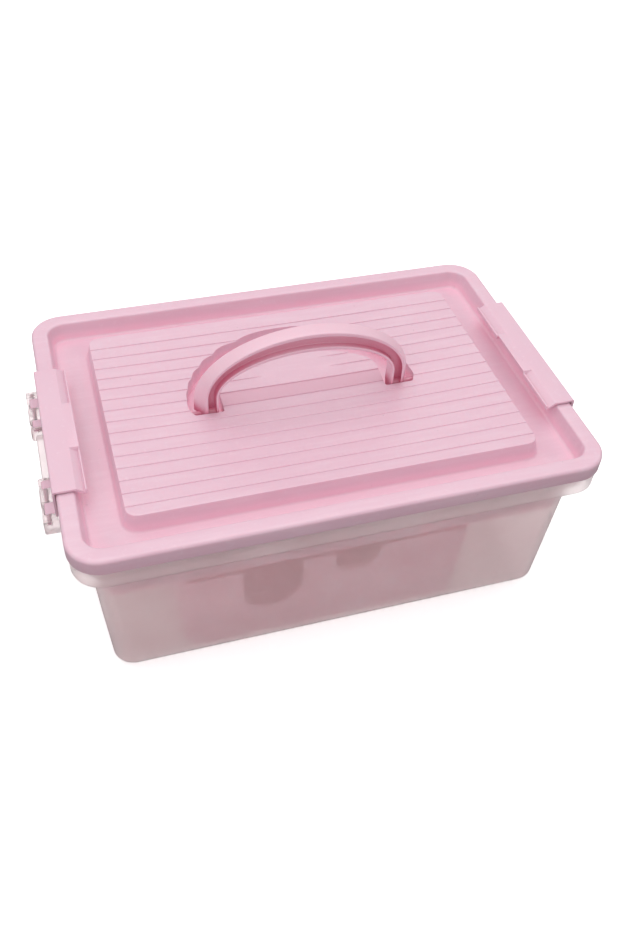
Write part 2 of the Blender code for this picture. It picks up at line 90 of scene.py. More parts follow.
HANDLE_Y = -0.0020
HANDLE_Z = RIM_TOP - 0.0072
HANDLE_WIDTH = 0.0115
HANDLE_FRONT = (0.0683, 0.0408, 0.0151)
HANDLE_BACK = (0.0746, 0.0483, 0.0076)
HANDLE_INSIDE = (0.0597, 0.0273, 0.0151)
HANDLE_EYE = 0.0050
HANDLE_PIN = 0.0020
HANDLE_PIN_HOLE = 0.0024
RECESS_FLOOR = RIM_TOP - 0.0136
RECESS_OUTER = (0.0786, 0.0686, 0.0)
RECESS_INNER = (0.0560, 0.0255, 0.0120)
RECESS_FRONT = -0.0083

# --- sizes of the looks' own, finer shapes -----------------------------------
PANEL_CORNER = 0.0075
PANEL_DROP = 0.0004
PANEL_SAG = 0.0026
STEP_BACK_Y = 0.0730
STEP_PITCH = 0.01083
STEP_COUNT = 15
STEP_HEIGHT = 0.00060
STEP_RUN = 0.0002
PANEL_EDGE = 0.0006
HANDLE_DEPTH = 0.0110
RECESS_SCALLOP = 0.0024
ISLAND_LIFT = 0.0018
ISLAND_EDGE = 0.0007
ISLAND_STRIP = 7
LOBE_ROOT_X = 0.1575
LOBE_FLANGE_X = 0.1680
LOBE_ROUND = 0.0020
BAR_LOW, BAR_HIGH = 0.0081, 0.0025
WEB_LOW, WEB_HIGH = 0.0060, 0.0038
FLANGE_INSET = 0.0012
FLANGE_INSIDE = 0.0030
SHELF = 0.0020
RIM_ROUND = 0.0024
CHANNEL_ROUND = 0.0022
RECESS_ROUND = 0.0016
RECESS_SIDE_ROUND = 0.004
RECESS_SIDE_END = -0.0030
PAD_MIDDLE_Y = 0.0225
PAD_HALF = (0.024, 0.012)
ISLAND_MARGIN = (0.010, 0.014)
PANEL_COLUMNS = 44
CORNER_STEPS = 14
ARCH_STEPS = 96
MERGE = 0.000005

# --- colours -----------------------------------------------------------------
WHITE = (1.0, 1.0, 1.0, 1.0)
LID_PINK = (0.71, 0.455, 0.55, 1.0)
# painted bounce light: a lighter, stronger pink laid into the lid's channel hollows, where pink light
# bounces between the walls
CHANNEL_BOUNCE_PINK = (1.0, 0.56, 0.69, 1.0)
CLIP_PINK = (0.715, 0.46, 0.555, 1.0)
HANDLE_PINK = (0.75, 0.48, 0.57, 1.0)
# painted shade: a deeper pink laid into the handle's groove, where shade and pink bounce light fall
GROOVE_SHADE_PINK = (0.66, 0.17, 0.28, 1.0)
TRAY_PINK = (0.95, 0.38, 0.48, 1.0)
FROST = ((0.89, 0.79, 0.80, 1.0), (0.93, 0.85, 0.855, 1.0))
FLOOR_TONES = ((0.90, 0.90, 0.90, 1.0), (0.92, 0.92, 0.92, 1.0))

# --- light and camera --------------------------------------------------------
BOX_MIDDLE = (0.0, 0.0, 0.1)
SKY = {"From Min": -0.06, "From Max": 0.0, "To Min": 0.24, "To Max": 0.84}
FLOOR_GLOW = 0.42
FLOOR_HALF = 8.0
FLOOR_GAP = 0.0002
LENS = 37.28
CAMERA_PLACE = (-0.1544, -0.4712, 0.5512)
CAMERA_RIGHT = (0.95753, -0.28519, 0.04284)
CAMERA_FORWARD = (0.23130, 0.67073, -0.70471)

TRAY_NODES = ["upper_tray", "lower_tray"] + ["upper_divider_%d" % n for n in (1, 2, 3, 4)] + [
    "lower_divider_1", "lower_divider_2"]


# --- mesh helpers ------------------------------------------------------------
def rounded_rectangle(half_x, half_y, radius, middle_x=0.0, middle_y=0.0):
    """Outline points of a rounded rectangle, anticlockwise."""
    points = []
    for side_x, side_y, start in ((1, 1, 0.0), (-1, 1, 0.5), (-1, -1, 1.0), (1, -1, 1.5)):
        for step in range(CORNER_STEPS + 1):
            angle = math.pi * (start + 0.5 * step / CORNER_STEPS)
            points.append((middle_x + side_x * (half_x - radius) + radius * math.cos(angle),
                           middle_y + side_y * (half_y - radius) + radius * math.sin(angle)))
    return points


def round_corners(points, radius, steps=4):
    """Outline with each corner replaced by an arc. A corner may give its own radius as a third value."""
    result = []
    count = len(points)
    for i, point in enumerate(points):
        here = Vector(point[:2])
        wanted = point[2] if len(point) > 2 else radius
        back = Vector(points[i - 1][:2]) - here
        ahead = Vector(points[(i + 1) % count][:2]) - here
        if wanted <= 0.0:
            result.append(tuple(here))
            continue
        reach = max(wanted / math.tan(back.angle(ahead) / 2), 0.00005)
        reach = min(reach, 0.49 * back.length, 0.49 * ahead.length)
        start = here + back.normalized() * reach
        end = here + ahead.normalized() * reach
        for step in range(steps + 1):
            t = step / steps
            curve = start * (1 - t) ** 2 + here * (2 * t * (1 - t)) + end * t ** 2
            result.append(tuple(curve))
    return result


def loft(rings):
    """Closed mesh through rings of equal point count, capped at both ends."""
    mesh = bmesh.new()
    loops = [[mesh.verts.new(point) for point in ring] for ring in rings]
    count = len(rings[0])
    for low, high in zip(loops, loops[1:]):
        for i in range(count):
            j = (i + 1) % count
            mesh.faces.new((low[i], low[j], high[j], high[i]))
    mesh.faces.new(list(reversed(loops[0])))
    mesh.faces.new(loops[-1])
    bmesh.ops.recalc_face_normals(mesh, faces=mesh.faces)
    return mesh


def level(half_x, half_y, radius, z, middle_x=0.0, middle_y=0.0):
    """Ring of a loft: a rounded rectangle at one height."""
    return [(x, y, z) for x, y in rounded_rectangle(half_x, half_y, radius, middle_x, middle_y)]


def inset_level(inset, z, radius):
    """Ring at a distance inside the lid's outline."""
    return level(LID_HALF_X - inset, LID_HALF_Y - inset, radius, z)


def edge_arc(inset, z, radius, inset_way, z_way, start_flat, steps=4):
    """Insets and heights of a quarter-round edge around the corner (inset, z).

    inset_way and z_way point from the corner into the material. start_flat runs from the flat side.
    """
    points = []
    for step in range(steps + 1):
        angle = 0.5 * math.pi * step / steps
        a, b = 1 - math.sin(angle), 1 - math.cos(angle)
        if not start_flat:
            a, b = b, a
        points.append((inset + inset_way * radius * a, z + z_way * radius * b))
    return points


def downward(points):
    """Insets and heights of an edge, from the highest down."""
    return sorted(points, key=lambda point: -point[1])


def prism_y(outline, y_low, y_high):
    return loft([[(x, y, z) for x, z in outline] for y in (y_low, y_high)])


def prism_z(outline, z_low, z_high):
    return loft([[(x, y, z) for x, y in outline] for z in (z_low, z_high)])


def rod(axis, centre, radius, low, high, sides=24, rounding=0.0003):
    """Round rod along X or Y with rounded ends. centre is its place on the other two axes."""
    rings = []
    ends = ((low, radius - rounding), (low + rounding, radius), (high - rounding, radius),
            (high, radius - rounding))
    for along, reach in ends:
        ring = []
        for i in range(sides):
            angle = 2 * math.pi * (i + 0.5) / sides
            a = centre[0] + reach * math.cos(angle)
            b = centre[1] + reach * math.sin(angle)
            ring.append((along, a, b) if axis == "X" else (a, along, b))
        rings.append(ring)
    return loft(rings)


def combine(base, tools, operation):
    """Boolean of a mesh with several tool meshes, one after the other."""
    target = bpy.data.objects.new("shape", bpy.data.meshes.new("shape"))
    base.to_mesh(target.data)
    base.free()
    bpy.context.scene.collection.objects.link(target)
    for tool in tools:
        cutter = bpy.data.objects.new("tool", bpy.data.meshes.new("tool"))
        tool.to_mesh(cutter.data)
        tool.free()
        bpy.context.scene.collection.objects.link(cutter)
        modifier = target.modifiers.new(operation, "BOOLEAN")
        modifier.operation = operation
        modifier.solver = "EXACT"
        modifier.object = cutter
        bpy.context.view_layer.update()
        graph = bpy.context.evaluated_depsgraph_get()
        result = bpy.data.meshes.new_from_object(target.evaluated_get(graph))
        target.modifiers.clear()
        target.data = result
        bpy.data.objects.remove(cutter, do_unlink=True)
    mesh = bmesh.new()
    mesh.from_mesh(target.data)
    bpy.data.objects.remove(target, do_unlink=True)
    bmesh.ops.remove_doubles(mesh, verts=mesh.verts, dist=MERGE)
    bmesh.ops.dissolve_degenerate(mesh, edges=mesh.edges, dist=MERGE)
    bmesh.ops.holes_fill(mesh, edges=[edge for edge in mesh.edges if edge.is_boundary])
    return mesh


def mirrored(outline, side):
    return [(side * point[0], *point[1:]) for point in outline]


def smooth(item, bevel=0.0, angle=35.0, segments=2):
    """Smooth shading with sharp creases, and an optional fine bevel on the creases."""
    item.data.shade_smooth()
    item.data.set_sharp_from_angle(angle=math.radians(angle))
    if bevel:
        modifier = item.modifiers.new("edges", "BEVEL")
        modifier.width = bevel
        modifier.segments = segments
        modifier.limit_method = "ANGLE"
        modifier.angle_limit = math.radians(angle)
        modifier.use_clamp_overlap = True
        modifier.harden_normals = True


def place(name, mesh, material, body, nodes, bevel=0.0, angle=35.0):
    """Object from a mesh, standing for CAD nodes and riding on their body."""
    data = bpy.data.meshes.new(name)
    mesh.to_mesh(data)
    mesh.free()
    data.materials.append(material)
    item = bpy.data.objects.new(name, data)
    bpy.context.scene.collection.objects.link(item)
    smooth(item, bevel, angle)
    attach(item, body)
    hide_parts(*nodes)
    return item


# --- materials ---------------------------------------------------------------
class Nodes:
    """Short way to add and join shader nodes."""

    def __init__(self, name):
        self.material = bpy.data.materials.new(name)
        self.material.use_nodes = True
        self.tree = self.material.node_tree
        self.shader = self.tree.nodes["Principled BSDF"]
        self.coordinates = self.tree.nodes.new("ShaderNodeTexCoord").outputs["Object"]

    def add(self, kind, inputs=None, **settings):
        node = self.tree.nodes.new(kind)
        for key, value in settings.items():
            setattr(node, key, value)
        for key, value in (inputs or {}).items():
            if isinstance(value, bpy.types.NodeSocket):
                self.tree.links.new(value, node.inputs[key])
            else:
                node.inputs[key].default_value = value
        return node

    def noise(self, scale, detail=2.0, stretch=(1.0, 1.0, 1.0), roughness=0.5):
        """Noise value on object coordinates; scale is in features per metre."""
        mapping = self.add("ShaderNodeMapping", {"Vector": self.coordinates, "Scale": stretch})
        node = self.add("ShaderNodeTexNoise", {"Vector": mapping.outputs[0], "Scale": scale,
                                               "Detail": detail, "Roughness": roughness})
        return node.outputs["Fac"]

    def ramp(self, value, low, high, to_low=0.0, to_high=1.0):
        node = self.add("ShaderNodeMapRange", {"Value": value, "From Min": low, "From Max": high,
                                               "To Min": to_low, "To Max": to_high})
        node.clamp = True
        return node.outputs["Result"]

    def mix(self, factor, first, second):
        node = self.add("ShaderNodeMix", {}, data_type="RGBA")
        for key, value in ((0, factor), (6, first), (7, second)):
            if isinstance(value, bpy.types.NodeSocket):
                self.tree.links.new(value, node.inputs[key])
            else:
                node.inputs[key].default_value = value
        return node.outputs[2]

    def join(self, socket, name):
        self.tree.links.new(socket, self.shader.inputs[name])

    def fix(self, name, value):
        self.shader.inputs[name].default_value = value

    def bump(self, height, distance, strength, after=None):
        inputs = {"Height": height, "Distance": distance, "Strength": strength}
        if after is not None:
            inputs["Normal"] = after
        return self.add("ShaderNodeBump", inputs).outputs["Normal"]


def island_slope_shade_mask(n):
    """Mask of the slope in front of the lid's island, where a darker colour is painted as shade, for the
    slope faces away from the overhead light.
    """
    parts = n.add("ShaderNodeSeparateXYZ", {"Vector": n.coordinates}).outputs
    across = n.add("ShaderNodeMath", {0: parts["X"]}, operation="ABSOLUTE").outputs[0]
    foot = STEP_BACK_Y - STEP_PITCH * ISLAND_STRIP
    half = RECESS_INNER[0] + 0.0006
    mask = n.ramp(across, half, half + 0.0004, 1.0, 0.0)
    for low, high, start, end in ((foot - 0.0004, foot, 0.0, 1.0),
                                  (foot + STEP_PITCH - 0.0002, foot + STEP_PITCH, 1.0, 0.0)):
        side = n.ramp(parts["Y"], low, high, start, end)
        mask = n.add("ShaderNodeMath", {0: mask, 1: side}, operation="MULTIPLY").outputs[0]
    return mask


def paint_hollow_shading(n, base, reach, deep, top):
    """Base colour with painted shade and bounce light: it turns to the given colour in hollows, found by
    ambient occlusion, below the height top.
    """
    shade = n.add("ShaderNodeAmbientOcclusion", {"Distance": reach}, samples=6).outputs["AO"]
    height = n.add("ShaderNodeSeparateXYZ", {"Vector": n.coordinates}).outputs["Z"]
    below = n.ramp(height, top - 0.004, top, 1.0, 0.0)
    share = n.add("ShaderNodeMath", {0: n.ramp(shade, 0.45, 0.92, 1.0, 0.0), 1: below},
                  operation="MULTIPLY").outputs[0]
    return n.mix(share, base, deep)


def pink_colour(n, colour, cloud, streak, scratch, streaks):
    """Moulded colour with soft clouds, specks, flow streaks, scuffs and a few dark nicks."""
    lighter = tuple(1 - 0.80 * (1 - c) for c in colour[:3]) + (1.0,)
    deeper = tuple(c ** 1.12 for c in colour[:3]) + (1.0,)
    nick = tuple(0.45 * c for c in colour[:3]) + (1.0,)
    base = n.mix(n.ramp(cloud, 0.35, 0.65, 0.0, 0.5), colour, deeper)
    base = n.mix(n.ramp(n.noise(420.0, 2.0), 0.60, 0.80, 0.0, 0.4), base, lighter)
    base = n.mix(n.ramp(streak, 0.45, 0.70, 0.0, streaks), base, lighter)
    base = n.mix(n.ramp(scratch, 0.70, 0.78, 0.0, 0.35), base, lighter)
    return n.mix(n.ramp(n.noise(310.0, 1.0), 0.79, 0.83, 0.0, 0.5), base, nick)


def pink_plastic(name, colour, grain, streaks, milk, depth, hollow_shading=None, slope_shade=False, painted_glow=0.0):
    """Satin moulded polypropylene.

    milk and depth set the light that goes through it. Then come the reach, colour and top of painted shade
    and bounce light in its hollows, a switch for painted shade on the island's slope, and the strength of a
    painted glow that stands for light shining through the plastic.
    """
    n = Nodes(name)
    cloud = n.noise(14.0, 3.0)
    streak = n.noise(260.0, 4.0, (0.10, 1.0, 1.0), 0.6)
    scratch = n.noise(55.0, 6.0, (1.0, 7.0, 3.0), 0.72)
    marks = n.ramp(scratch, 0.69, 0.74)
    base = pink_colour(n, colour, cloud, streak, scratch, streaks)
    # painted shade: the slope in front of the island darkens, as it faces away from the overhead light
    if slope_shade:
        slope_shade_colour = (0.90 * colour[0], 0.77 * colour[1], 0.81 * colour[2], 1.0)
        base = n.mix(island_slope_shade_mask(n), base, slope_shade_colour)
    # painted shade and bounce light: hollows found by ambient occlusion take a given deeper or brighter pink
    if hollow_shading:
        base = paint_hollow_shading(n, base, *hollow_shading)
    n.join(base, "Base Color")
    rough = n.add("ShaderNodeMath", {0: n.ramp(cloud, 0.3, 0.7, 0.36, 0.45),
                                     1: n.ramp(marks, 0.0, 1.0, 0.0, 0.12)}, operation="ADD")
    n.join(rough.outputs[0], "Roughness")
    normal = n.bump(n.noise(90.0, 2.0, (1.0, 1.6, 1.0)), 0.00012, 0.35 * grain)
    normal = n.bump(streak, 0.00006, 1.6 * streaks, normal)
    normal = n.bump(n.noise(1500.0, 2.0), 0.00004, 0.55 * grain, normal)
    normal = n.bump(marks, 0.00005, 0.3, normal)
    n.join(normal, "Normal")
    n.fix("IOR", 1.55)
    n.fix("Specular IOR Level", 1.0)
    n.fix("Subsurface Weight", milk)
    n.fix("Subsurface Radius", (1.0, 0.45, 0.5))
    n.fix("Subsurface Scale", depth)
    n.fix("Emission Color", colour)
    # painted glow: weak light of the plastic's own colour that stands for light shining through it
    n.fix("Emission Strength", painted_glow)
    return n.material


def frosted_plastic():
    """Milky see-through polypropylene with faint upright streaks."""
    n = Nodes("frosted_plastic")
    cloud = n.noise(22.0, 3.0)
    base = n.mix(n.ramp(cloud, 0.35, 0.65), *FROST)
    n.join(base, "Base Color")
    streak = n.noise(130.0, 3.0, (1.0, 1.0, 0.06))
    n.join(n.ramp(streak, 0.3, 0.7, 0.32, 0.40), "Roughness")
    grain = n.noise(900.0, 2.0)
    normal = n.bump(streak, 0.00003, 0.12)
    normal = n.bump(grain, 0.00002, 0.2, normal)
    n.join(normal, "Normal")
    n.fix("IOR", 1.25)
    n.fix("Transmission Weight", 0.80)
    return n.material


# --- tub ---------------------------------------------------------------------
def wall_inset(z):
    return WALL_INSET + DRAFT * (FLANGE_BOTTOM - z)


def ear_outline():
    """One hinge ear seen along Y: from inside the tub's wall out to the lobe's edge."""
    low = HINGE_Z - HINGE_DROP
    high = HINGE_Z + HINGE_TOP
    under_rim = FLANGE_BOTTOM + 0.0009
    points = [(LOBE_ROOT_X, low, 0), (LOBE_REACH, low), (LOBE_REACH, high), (LOBE_FLANGE_X, high, 0),
              (LOBE_FLANGE_X, under_rim, 0), (LOBE_ROOT_X, under_rim, 0)]
    return round_corners(points, LOBE_ROUND, 6)


def tub_rings():
    """Tub from the middle of its floor outside, round the flange and down to the floor inside."""
    shelf = FLANGE_BOTTOM + SHELF
    under_lid = FLANGE_TOP - SHELF
    rings = [inset_level(i, z, 0.0130) for i, z in edge_arc(wall_inset(0.0), 0.0, 0.008, 1, 1, True, 8)]
    middle = FLANGE_BOTTOM / 2
    rings.append(inset_level(wall_inset(middle), middle, 0.0160))
    rings += [
        inset_level(WALL_INSET, FLANGE_BOTTOM, 0.0180),
        inset_level(WALL_INSET, FLANGE_BOTTOM + 0.0012, 0.0170),
        inset_level(WALL_INSET - 0.0006, FLANGE_BOTTOM + 0.0018, 0.0162),
        inset_level(WALL_INSET - 0.0012, shelf, 0.0160),
        inset_level(MOUTH_INSET - TUB_WALL, shelf, 0.0140),
        inset_level(MOUTH_INSET - TUB_WALL, under_lid, 0.0140),
        inset_level(FLANGE_INSIDE, under_lid, 0.0180),
        inset_level(FLANGE_INSIDE, FLANGE_BOTTOM, 0.0180),
        inset_level(FLANGE_INSIDE - 0.0004, FLANGE_BOTTOM, 0.0184),
    ]
    low = edge_arc(FLANGE_INSET, FLANGE_BOTTOM, 0.0014, 1, 1, True, 4)
    high = edge_arc(FLANGE_INSET, FLANGE_TOP, 0.0010, 1, -1, False, 4)
    lip = edge_arc(MOUTH_INSET, FLANGE_TOP, 0.0006, -1, -1, True, 3)
    rings += [inset_level(i, z, LID_CORNER - i) for i, z in low + high + lip]
    rings += [
        inset_level(MOUTH_INSET, LEDGE_TOP, 0.0120),
        inset_level(WALL_INSET + TUB_WALL - 0.0005, LEDGE_TOP, 0.0150),
        inset_level(WALL_INSET + TUB_WALL, LEDGE_TOP - 0.0005, 0.0150),
        inset_level(WALL_INSET + TUB_WALL, FLANGE_BOTTOM, 0.0160),
    ]
    inner = edge_arc(wall_inset(TUB_FLOOR) + TUB_WALL, TUB_FLOOR, 0.006, 1, 1, False, 6)
    rings += [inset_level(i, z, 0.0110) for i, z in downward(inner)]
    return rings


def bar_outline():
    """Bar that closes a group of ears outside, seen along Y."""
    inner = LOBE_REACH - LOBE_WALL
    low, high = HINGE_Z - BAR_LOW, HINGE_Z - BAR_HIGH
    return round_corners([(inner, low), (LOBE_REACH, low), (LOBE_REACH, high), (inner, high)], 0.0005, 3)


def web_outline():
    """Web between the two groups of ears at one end, seen along Y."""
    low, high = HINGE_Z - WEB_LOW, HINGE_Z - WEB_HIGH
    return round_corners([(LOBE_ROOT_X, low, 0), (WEB_REACH, low), (WEB_REACH, high),
                          (LOBE_ROOT_X, high, 0)], 0.0009)


def tub_mesh():
    extras = []
    holes = []
    near, far = EARS[0][0], EARS[-1][1]
    bar = (near + 0.0004, far - 0.0004)
    for side in (1, -1):
        for end in (1, -1):
            for ear in EARS:
                extras.append(prism_y(mirrored(ear_outline(), side), *sorted(end * y for y in ear)))
            extras.append(prism_y(mirrored(bar_outline(), side), *sorted(end * y for y in bar)))
        extras.append(prism_y(mirrored(web_outline(), side), -near - 0.0002, near + 0.0002))
        holes.append(rod("Y", (side * HINGE_X, HINGE_Z), PIN_HOLE_RADIUS, -far - 0.002, far + 0.002))
    return combine(combine(loft(tub_rings()), extras, "UNION"), holes, "DIFFERENCE")


# --- lid ---------------------------------------------------------------------
def panel_rows(half_y, corner):
    """Heights across the panel: (y, share of a step below the strip's front edge), front to back."""
    front = PANEL_MIDDLE_Y - half_y
    back = PANEL_MIDDLE_Y + half_y
    lines = [back] + [STEP_BACK_Y - STEP_PITCH * i for i in range(STEP_COUNT)] + [front]
    rows = []
    for strip, (far, near) in enumerate(zip(lines, lines[1:])):
        start = far - (STEP_RUN if strip else 0.0)
        for part in (0.0, 0.5, 1.0):
            rows.append((start + (near - start) * part, 1.0 - part, strip))
    corner_rows = []
    for step in range(1, 7):
        reach = half_y - corner + corner * math.sin(0.5 * math.pi * step / 7)
        for y in (PANEL_MIDDLE_Y + reach, PANEL_MIDDLE_Y - reach):
            if min(abs(y - row[0]) for row in rows + corner_rows) > 0.0003:
                strip = sum(y < line for line in lines[1:-1])
                far, near = lines[strip], lines[strip + 1]
                corner_rows.append((y, (y - near) / (far - near), strip))
    return sorted(rows + corner_rows)


def half_width(y, half_x, half_y, corner):
    """Half width of the panel at y, and its outward direction there."""
    over = abs(y - PANEL_MIDDLE_Y) - (half_y - corner)
    if over <= 0:
        return half_x, (1.0, 0.0)
    over = min(over, corner)
    across = math.sqrt(max(corner ** 2 - over ** 2, 0.0))
    side = 1.0 if y > PANEL_MIDDLE_Y else -1.0
    return half_x - corner + across, (across / corner, side * over / corner)


def step_share(x, y, strip):
    """How deep the strips' steps are here: full, but none on the plain pad and the island's slope."""
    pad = math.hypot(x / PAD_HALF[0], (y - PAD_MIDDLE_Y) / PAD_HALF[1])
    fade = min(max((pad - 0.9) / 0.5, 0.0), 1.0)
    if strip == ISLAND_STRIP and abs(x) < RECESS_INNER[0] + 0.008:
        return 0.0
    return fade


def island_lift(x, y):
    """The island stands a little above the panel and slopes down to it in front, over one strip."""
    inner_x, inner_y, middle = RECESS_INNER
    half_x, half_y = inner_x + ISLAND_MARGIN[0], inner_y + ISLAND_MARGIN[1]
    apart = math.hypot(x / half_x, max(y - middle, 0.0) / half_y)
    inside = min(max((1.12 - apart) / 0.24, 0.0), 1.0)
    up = (y - STEP_BACK_Y) / STEP_PITCH + ISLAND_STRIP
    if up > 0.995:
        return ISLAND_LIFT * inside
    return (ISLAND_LIFT - ISLAND_EDGE) * inside * max(up, 0.0)


def panel_grid(mesh, half_x, half_y, corner, top, stepped):
    """Top of a panel block: rows of vertices from front to back, and each row's outward direction."""
    grid = []
    normals = []
    for y, share, strip in panel_rows(half_y, corner):
        reach, outward = half_width(y, half_x, half_y, corner)
        row = []
        for column in range(PANEL_COLUMNS + 1):
            x = reach * (2 * column / PANEL_COLUMNS - 1)
            drop = STEP_HEIGHT * share * step_share(x, y, strip) - island_lift(x, y) if stepped else 0.0
            row.append(mesh.verts.new((x, y, top - drop)))
        grid.append(row)
        normals.append(outward)
    for low, high in zip(grid, grid[1:]):
        for i in range(PANEL_COLUMNS):
            mesh.faces.new((low[i], low[i + 1], high[i + 1], high[i]))
    return grid, normals


def panel_edge(grid, normals):
    """Vertices round the grid with their outward directions, anticlockwise from the left front."""
    sides = list(zip(grid[1:-1], normals[1:-1]))
    edge = [(v, (0.0, -1.0)) for v in grid[0]]
    edge += [(row[-1], n) for row, n in sides]
    edge += [(v, (0.0, 1.0)) for v in reversed(grid[-1])]
    edge += [(row[0], (-n[0], n[1])) for row, n in reversed(sides)]
    return edge


def join_rings(mesh, high, low):
    count = len(high)
    for i in range(count):
        j = (i + 1) % count
        mesh.faces.new((low[i], low[j], high[j], high[i]))


def panel_block(shrink, top, floor, stepped, flare):
    """Raised panel as a closed block: a grid top with strips, rounded edges and sloping sides.

    flare lists how far out each ring of the sides is, and its drop below the edge or its own height.
    """
    corner = max(PANEL_CORNER - shrink, 0.002)
    mesh = bmesh.new()
    grid, normals = panel_grid(mesh, PANEL_HALF_X - shrink, PANEL_HALF_Y - shrink, corner, top, stepped)
    edge = panel_edge(grid, normals)
    rings = [[v for v, _ in edge]]
    for grow, drop, z in flare:
        ring = []
        for vertex, outward in edge:
            height = vertex.co.z - drop if z is None else z
            ring.append(mesh.verts.new((vertex.co.x + outward[0] * grow,
                                        vertex.co.y + outward[1] * grow, height)))
        rings.append(ring)
    for high, low in zip(rings, rings[1:]):
        join_rings(mesh, high, low)
    bottom = [mesh.verts.new((v.co.x, v.co.y, floor)) for v in rings[-1]]
    join_rings(mesh, rings[-1], bottom)
    mesh.faces.new(list(reversed(bottom)))
    bmesh.ops.recalc_face_normals(mesh, faces=mesh.faces)
    return mesh


def recess_outline(grow, scallop=0.0):
    """U-shaped outline around the island: half an ellipse outside and inside, open to the front."""
    outer_x, outer_y, outer_middle = RECESS_OUTER
    inner_x, inner_y, inner_middle = RECESS_INNER
    front = RECESS_FRONT - grow
    outer = []
    for step in range(ARCH_STEPS + 1):
        angle = math.pi * step / ARCH_STEPS
        wave = abs(math.sin(math.pi * (STEP_BACK_Y - outer_y * math.sin(angle)) / STEP_PITCH))
        out = grow + scallop * (wave - 0.6) * math.sin(angle)
        outer.append(((outer_x + out) * math.cos(angle), outer_middle + (outer_y + out) * math.sin(angle)))
    inner = []
    for step in range(ARCH_STEPS + 1):
        angle = math.pi * (1 - step / ARCH_STEPS)
        inner.append(((inner_x - grow) * math.cos(angle), inner_middle + (inner_y - grow) * math.sin(angle)))
    bend, end = outer_x + grow - 0.0005, outer_x + grow - 0.0032
    slot = inner_x - grow
    outline = [(x, y, 0) for x, y in outer]
    outline += [(-bend, RECESS_SIDE_END, RECESS_SIDE_ROUND), (-end, front), (-slot, front)]
    outline += [(x, y, 0) for x, y in inner]
    outline += [(slot, front), (end, front), (bend, RECESS_SIDE_END, RECESS_SIDE_ROUND)]
    return round_corners(outline, RECESS_ROUND, 5)


def lid_rings():
    """Rim, skirt and channel as one shallow shell, without the raised panel."""
    top = RIM_TOP
    floor = top - CHANNEL_DEPTH
    under = floor - LID_WALL
    wall = LID_WALL
    inside = RIM_WIDTH + DRAFT_OUT - wall
    rings = [
        inset_level(inside + 0.0012, under, 0.0080),
        inset_level(inside + 0.0003, under + 0.0003, 0.0088),
        inset_level(inside, under + 0.0012, 0.0092),
        inset_level(RIM_WIDTH - wall, top - wall, 0.0120),
        inset_level(wall, top - wall, LID_CORNER - wall),
        inset_level(wall, top - SKIRT_HEIGHT, LID_CORNER - wall),
    ]
    low = edge_arc(0.0, top - SKIRT_HEIGHT, 0.0007, 1, 1, True, 3)
    high = edge_arc(0.0, top, RIM_ROUND, 1, -1, False, 6)
    rings += [inset_level(i, z, LID_CORNER - i) for i, z in low + high]
    inner = edge_arc(RIM_WIDTH, top, 0.0016, -1, -1, True, 5)
    rings += [inset_level(i, z, 0.0115 + 0.8 * (RIM_WIDTH - i)) for i, z in inner]
    foot = edge_arc(RIM_WIDTH + DRAFT_OUT, floor, CHANNEL_ROUND, 1, 1, False, 5)
    rings += [inset_level(i, z, 0.0095 - 0.8 * (i - RIM_WIDTH - DRAFT_OUT)) for i, z in downward(foot)]
    return rings


def sag(mesh):
    """Middle of the panel sinks a little, as a thin moulded sheet does."""
    floor = RIM_TOP - CHANNEL_DEPTH
    for vertex in mesh.verts:
        x, y, z = vertex.co
        u = min(abs(x) / PANEL_HALF_X, 1.0)
        v = min(abs(y - PANEL_MIDDLE_Y) / PANEL_HALF_Y, 1.0)
        share = min(max((z - floor) / 0.008, 0.0), 1.0)
        vertex.co.z = z - PANEL_SAG * (1 - u * u) * (1 - v * v) * share


def lid_mesh():
    top = RIM_TOP
    floor = top - CHANNEL_DEPTH
    wall = LID_WALL
    rounding = [(PANEL_EDGE * math.sin(a), PANEL_EDGE * (1 - math.cos(a)), None)
                for a in (math.pi * k / 8 for k in (1, 2, 3, 4))]
    grow = PANEL_EDGE + DRAFT_OUT
    foot = [(grow + g, 0.0, floor + z) for g, z in
            ((-0.0003, 0.0020), (0.0000, 0.0011), (0.0006, 0.0004), (0.0016, 0.0000), (0.0018, -0.0002))]
    panel = panel_block(PANEL_EDGE, top - PANEL_DROP, floor - 0.0010, True, rounding + foot)
    hollow_top = top - PANEL_DROP - STEP_HEIGHT - wall
    pocket = panel_block(wall, hollow_top, floor - wall - 0.002, False,
                         [(DRAFT_OUT, 0.0, floor - wall - 0.001)])
    body = combine(loft(lid_rings()), [panel], "UNION")
    body = combine(body, [pocket], "DIFFERENCE")
    housing = prism_z(recess_outline(wall), RECESS_FLOOR - wall, top - PANEL_DROP - 0.0022)
    body = combine(body, [housing], "UNION")
    cuts = [prism_z(recess_outline(0.0, RECESS_SCALLOP), RECESS_FLOOR, top + 0.004)]
    for side in (1, -1):
        xs = sorted((side * (RECESS_OUTER[0] - 0.002), side * (RECESS_OUTER[0] + wall + 0.001)))
        cuts.append(rod("X", (HANDLE_Y, HANDLE_Z), HANDLE_PIN_HOLE, *xs))
    body = combine(body, cuts, "DIFFERENCE")
    sag(body)
    return body


# --- carry handle ------------------------------------------------------------
def arch_point(curve, angle, foot):
    """Point on one edge of the handle in X and height above the hinge; a foot goes down to the hinge."""
    half_x, rise, middle = curve
    height = 0.0 if foot else middle + rise * math.sin(angle)
    return Vector((half_x * math.cos(angle), height))


